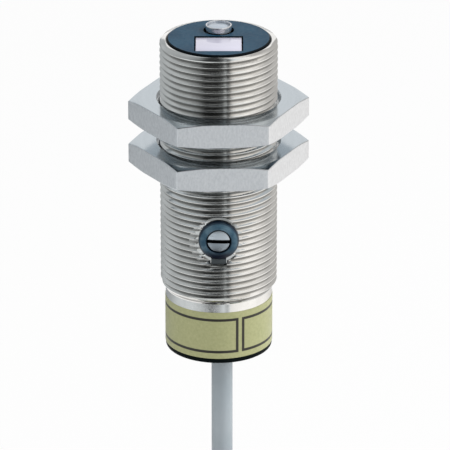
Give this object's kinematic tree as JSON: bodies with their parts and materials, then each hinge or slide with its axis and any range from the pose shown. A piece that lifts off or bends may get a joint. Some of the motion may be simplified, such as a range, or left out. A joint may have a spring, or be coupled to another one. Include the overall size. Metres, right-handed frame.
{
  "type": "laser proximity sensor",
  "caption": "Round threaded laser proximity sensor with clamping nuts, an optical face with laser tube and receiver window, a side range adjuster and a coiled fixed cable.",
  "frame": {"origin": "on the barrel's axis, midway between the two clamping nuts, where the bracket that holds the sensor is clamped", "axes": "+Z along the barrel towards the sensing face; -Y towards the range adjuster"},
  "size_m": [0.0528, 0.0248, 0.1412],
  "materials": {
    "barrel_nickel": "bright nickel plating over fine turned brass",
    "nut_nickel": "satin nickel plating, finely brushed flats",
    "face_black": "fine matt moulded black plastic",
    "window_glass": "polished coated flat glass",
    "laser_chrome": "polished plated tube",
    "lens_glass": "polished lens",
    "gasket_rubber": "soft black rubber",
    "carrier_black": "matt black moulding",
    "diode_gold": "thin gold plating",
    "detector_clear": "dark clear resin",
    "board_green": "solder mask over glass laminate",
    "pin_tin": "tinned pins",
    "chip_black": "moulded chip body",
    "capacitor_tan": "fired ceramic",
    "trimmer_blue": "blue moulded case",
    "rotor_white": "white moulded rotor",
    "screw_steel": "turned screw head",
    "bush_dark": "dark moulded bush, slight sheen",
    "sleeve_film": "thin insulating film",
    "label_foil": "plain yellow-green foil with ruled frames",
    "cap_black": "black moulded cap",
    "resin_dark": "cast resin",
    "cable_grey": "grey cable sheath",
    "core_brown": "brown core insulation",
    "core_blue": "blue core insulation",
    "core_black": "black core insulation",
    "core_white": "white core insulation",
    "tie_black": "black nylon tie"
  },
  "bodies": {
    "sensor": {"barrel": "barrel_nickel", "front_cap": "face_black", "cap_gasket": "gasket_rubber", "receiver_window": "window_glass", "laser_tube": "laser_chrome", "laser_lens": "lens_glass", "laser_diode": "diode_gold", "optics_carrier": "carrier_black", "receiver_lens": "lens_glass", "light_detector": "detector_clear", "front_board": "board_green", "board_pins": "pin_tin", "main_board": "board_green", "signal_processor": "chip_black", "output_driver": "chip_black", "capacitors": "capacitor_tan", "trimmer_body": "trimmer_blue", "adjuster_seal": "gasket_rubber", "adjuster_bush": "bush_dark", "insulating_sleeve": "sleeve_film", "label_band": "label_foil", "end_cap": "cap_black", "cable_grommet": "gasket_rubber", "crimp_ring": "pin_tin", "resin_plug": "resin_dark", "cable_inner": "cable_grey", "cable": "cable_grey", "cable_coil": "cable_grey", "coil_tie": "tie_black", "cable_tail": "cable_grey", "core_tips": "pin_tin", "brown_lead": "core_brown", "blue_lead": "core_blue", "black_lead": "core_black", "white_lead": "core_white", "brown_core": "core_brown", "blue_core": "core_blue", "black_core": "core_black", "white_core": "core_white"},
    "front_nut": {"upper_nut": "nut_nickel"},
    "rear_nut": {"lower_nut": "nut_nickel"},
    "adjuster": {"adjuster_screw": "screw_steel", "trimmer_rotor": "rotor_white"}
  },
  "joints": [
    {"name": "upper_nut_travel", "type": "slide", "parent": "sensor", "child": "front_nut", "axis": [0, 0, 1], "range_m": [-0.001, 0.009]},
    {"name": "lower_nut_travel", "type": "slide", "parent": "sensor", "child": "rear_nut", "axis": [0, 0, 1], "range_m": [-0.006, 0.001]},
    {"name": "adjuster_turn", "type": "hinge", "parent": "sensor", "child": "adjuster", "pos_m": [0, -0.009, -0.0148], "axis": [0, 1, 0], "range_deg": [-135, 135]}
  ]
}
